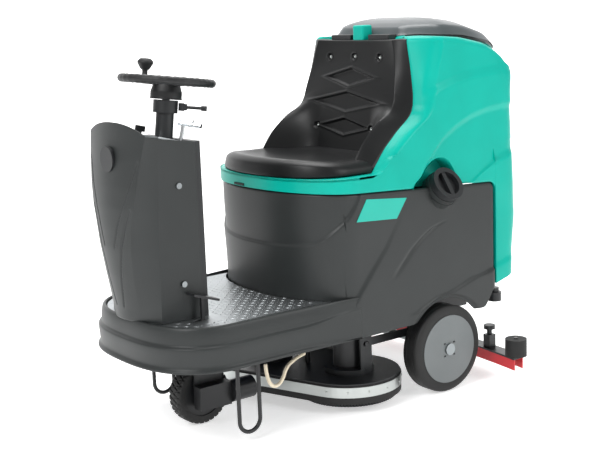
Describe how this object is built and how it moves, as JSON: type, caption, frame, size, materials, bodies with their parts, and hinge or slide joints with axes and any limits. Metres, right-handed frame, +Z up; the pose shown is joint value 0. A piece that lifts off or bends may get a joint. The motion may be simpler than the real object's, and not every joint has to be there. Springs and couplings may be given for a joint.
{
  "type": "ride-on floor scrubber",
  "caption": "Ride-on floor scrubber: seat on a tilting recovery tank, steered drive wheel, lifting brush deck and a rear squeegee on a lifting link.",
  "frame": {"origin": "on the floor, under the middle of the machine's bounding box", "axes": "the front faces -Y, the driver's left is +X, +Z is up"},
  "size_m": [0.918, 1.4558, 1.257],
  "materials": {
    "frame_black": "black powder coat on steel",
    "steel_bare": "turned and plated steel",
    "zinc_plate": "zinc plated sheet",
    "chrome_rod": "polished",
    "tank_grey": "rotomoulded, fine grain",
    "cowl_grey": "moulded, fine grain",
    "tank_teal": "rotomoulded, satin",
    "lid_grey": "moulded, satin",
    "black_plastic": "moulded, satin",
    "soft_grip": "foamed grip, dull",
    "rubber_black": "dull",
    "blade_red": "smooth",
    "tyre_black": "solid tyre, dull",
    "hub_grey": "grey paint on cast hub",
    "tread_plate": "bar-pattern tread plate",
    "dash_silver": "printed film on plastic",
    "label_teal": "plain film",
    "battery_blue": "moulded case",
    "bristle_black": "nylon bristle on a moulded block",
    "seat_vinyl": "coated upholstery, satin",
    "hose_cream": "translucent hose",
    "filter_clear": "clear bowl",
    "controller_grey": "cast case"
  },
  "bodies": {
    "chassis": {"main_frame": "frame_black", "rear_axle": "steel_bare", "axle_caps": "steel_bare", "lower_body": "tank_grey", "footplate": "tread_plate", "front_cowl": "cowl_grey", "cowl_back": "black_plastic", "dash_panel": "dash_silver", "steering_column": "black_plastic", "cowl_screws": "steel_bare", "cowl_badge": "black_plastic", "side_plates": "label_teal", "batteries": "battery_blue", "controller_box": "controller_grey", "lift_actuator": "steel_bare", "solution_filter": "filter_clear", "filler_neck": "tank_grey", "guard_hoop_left": "frame_black", "guard_hoop_right": "frame_black", "solution_hose": "hose_cream", "suction_hose": "black_plastic", "steering_chain": "steel_bare"},
    "steering": {"steering_shaft": "steel_bare", "steering_wheel": "soft_grip"},
    "spinner": {"spinner_knob": "black_plastic"},
    "column_switch": {"turn_switch": "black_plastic"},
    "chain_shaft": {"sprocket_shaft": "steel_bare"},
    "drive_unit": {"drive_fork": "frame_black", "fork_sprocket": "steel_bare", "drive_motor": "frame_black"},
    "drive_wheel": {"drive_hub": "hub_grey", "drive_tyre": "tyre_black"},
    "rear_wheel_left": {"rear_hub_left": "hub_grey", "rear_tyre_left": "tyre_black"},
    "rear_wheel_right": {"rear_hub_right": "hub_grey", "rear_tyre_right": "tyre_black"},
    "pedal": {"accelerator_pedal": "frame_black"},
    "lever": {"direction_lever": "chrome_rod"},
    "key": {"key_knob": "black_plastic"},
    "upper_tank": {"recovery_tank": "tank_teal", "seat": "seat_vinyl", "seat_bolts": "steel_bare", "vacuum_motor": "black_plastic"},
    "lid": {"tank_lid": "lid_grey"},
    "cap": {"filler_cap": "black_plastic"},
    "drain": {"drain_cap": "black_plastic"},
    "brush_deck": {"deck_cover": "black_plastic", "deck_band": "zinc_plate", "deck_skirt": "rubber_black", "brush_motors": "frame_black"},
    "deck_links": {"lift_arms": "frame_black"},
    "left_brush": {"brush_left": "bristle_black"},
    "right_brush": {"brush_right": "bristle_black"},
    "rear_link": {"squeegee_link": "frame_black"},
    "carrier": {"squeegee_carrier": "frame_black"},
    "squeegee": {"squeegee_frame": "frame_black", "squeegee_blades": "blade_red", "squeegee_knobs": "black_plastic"},
    "left_roller": {"roller_left": "rubber_black"},
    "right_roller": {"roller_right": "rubber_black"}
  },
  "joints": [
    {"name": "fork_steer", "type": "hinge", "parent": "chassis", "child": "drive_unit", "pos_m": [0, -0.443, 0.2], "axis": [0, 0, 1], "range_deg": [-60, 60]},
    {"name": "steering_turn", "type": "hinge", "parent": "chassis", "child": "steering", "pos_m": [0, -0.496, 1.097], "axis": [0, 0.1323, 0.9912], "range_deg": [-181, 181]},
    {"name": "sprocket_turn", "type": "hinge", "parent": "chassis", "child": "chain_shaft", "pos_m": [0, -0.57833, 0.4], "axis": [0, 0, 1], "range_deg": [-181, 181]},
    {"name": "drive_spin", "type": "hinge", "parent": "drive_unit", "child": "drive_wheel", "pos_m": [0, -0.443, 0.098], "axis": [1, 0, 0], "continuous": true},
    {"name": "spinner_spin", "type": "hinge", "parent": "steering", "child": "spinner", "pos_m": [-0.136, -0.49435, 1.10939], "axis": [0, 0.1323, 0.9912], "continuous": true},
    {"name": "switch_turn", "type": "hinge", "parent": "chassis", "child": "column_switch", "pos_m": [0.035, -0.47136, 1.01704], "axis": [0, 0.1323, 0.9912], "range_deg": [-10, 10]},
    {"name": "pedal_press", "type": "hinge", "parent": "chassis", "child": "pedal", "pos_m": [0.182, -0.527, 0.317], "axis": [1, 0, 0], "range_deg": [0, 9], "stiffness_Nm_per_rad": 8, "springref_deg": -6.88},
    {"name": "lever_rock", "type": "hinge", "parent": "chassis", "child": "lever", "pos_m": [0.106, -0.52734, 0.90783], "axis": [1, 0, 0], "range_deg": [-14, 14]},
    {"name": "key_turn", "type": "hinge", "parent": "chassis", "child": "key", "pos_m": [-0.07, -0.56422, 0.93352], "axis": [0, 0.2419, 0.9703], "range_deg": [0, 90]},
    {"name": "rear_left_spin", "type": "hinge", "parent": "chassis", "child": "rear_wheel_left", "pos_m": [0.303, 0.342, 0.15], "axis": [1, 0, 0], "continuous": true},
    {"name": "rear_right_spin", "type": "hinge", "parent": "chassis", "child": "rear_wheel_right", "pos_m": [-0.303, 0.342, 0.15], "axis": [1, 0, 0], "continuous": true},
    {"name": "tank_tilt", "type": "hinge", "parent": "chassis", "child": "upper_tank", "pos_m": [0, 0.597, 0.256], "axis": [-1, 0, 0], "range_deg": [0, 50]},
    {"name": "lid_open", "type": "hinge", "parent": "upper_tank", "child": "lid", "pos_m": [0, 0.312, 1.21], "axis": [1, 0, 0], "range_deg": [0, 75]},
    {"name": "cap_pull", "type": "slide", "parent": "chassis", "child": "cap", "axis": [0.8192, 0, 0.5736], "range_m": [0, 0.06]},
    {"name": "drain_pull", "type": "slide", "parent": "upper_tank", "child": "drain", "axis": [0, 0, -1], "range_m": [0, 0.05]},
    {"name": "deck_lift", "type": "slide", "parent": "chassis", "child": "brush_deck", "axis": [0, 0, 1], "range_m": [-0.02, 0]},
    {"name": "arms_turn", "type": "hinge", "parent": "chassis", "child": "deck_links", "pos_m": [0, 0.292, 0.205], "axis": [1, 0, 0], "range_deg": [0, 5.2]},
    {"name": "left_brush_spin", "type": "hinge", "parent": "brush_deck", "child": "left_brush", "pos_m": [0.155, 0.0535, 0.1], "axis": [0, 0, 1], "continuous": true},
    {"name": "right_brush_spin", "type": "hinge", "parent": "brush_deck", "child": "right_brush", "pos_m": [-0.155, -0.0565, 0.1], "axis": [0, 0, 1], "continuous": true},
    {"name": "squeegee_lift", "type": "hinge", "parent": "chassis", "child": "rear_link", "pos_m": [0, 0.438, 0.227], "axis": [1, 0, 0], "range_deg": [-18, 0], "deforming": ["suction_hose"]},
    {"name": "carrier_level", "type": "hinge", "parent": "rear_link", "child": "carrier", "pos_m": [0, 0.588, 0.215], "axis": [1, 0, 0], "range_deg": [0, 18]},
    {"name": "squeegee_swing", "type": "hinge", "parent": "carrier", "child": "squeegee", "pos_m": [0, 0.619, 0.12], "axis": [0, 0, 1], "range_deg": [-12, 12]},
    {"name": "left_roller_spin", "type": "hinge", "parent": "squeegee", "child": "left_roller", "pos_m": [0.422, 0.58, 0.125], "axis": [0, 0, 1], "continuous": true},
    {"name": "right_roller_spin", "type": "hinge", "parent": "squeegee", "child": "right_roller", "pos_m": [-0.422, 0.58, 0.125], "axis": [0, 0, 1], "continuous": true}
  ],
  "couplings": [
    {"joint": "steering_turn", "follows": "fork_steer", "ratio": 3},
    {"joint": "sprocket_turn", "follows": "fork_steer", "ratio": 3},
    {"joint": "arms_turn", "follows": "deck_lift", "rad_per_m": -4.348},
    {"joint": "carrier_level", "follows": "squeegee_lift", "ratio": -1}
  ]
}
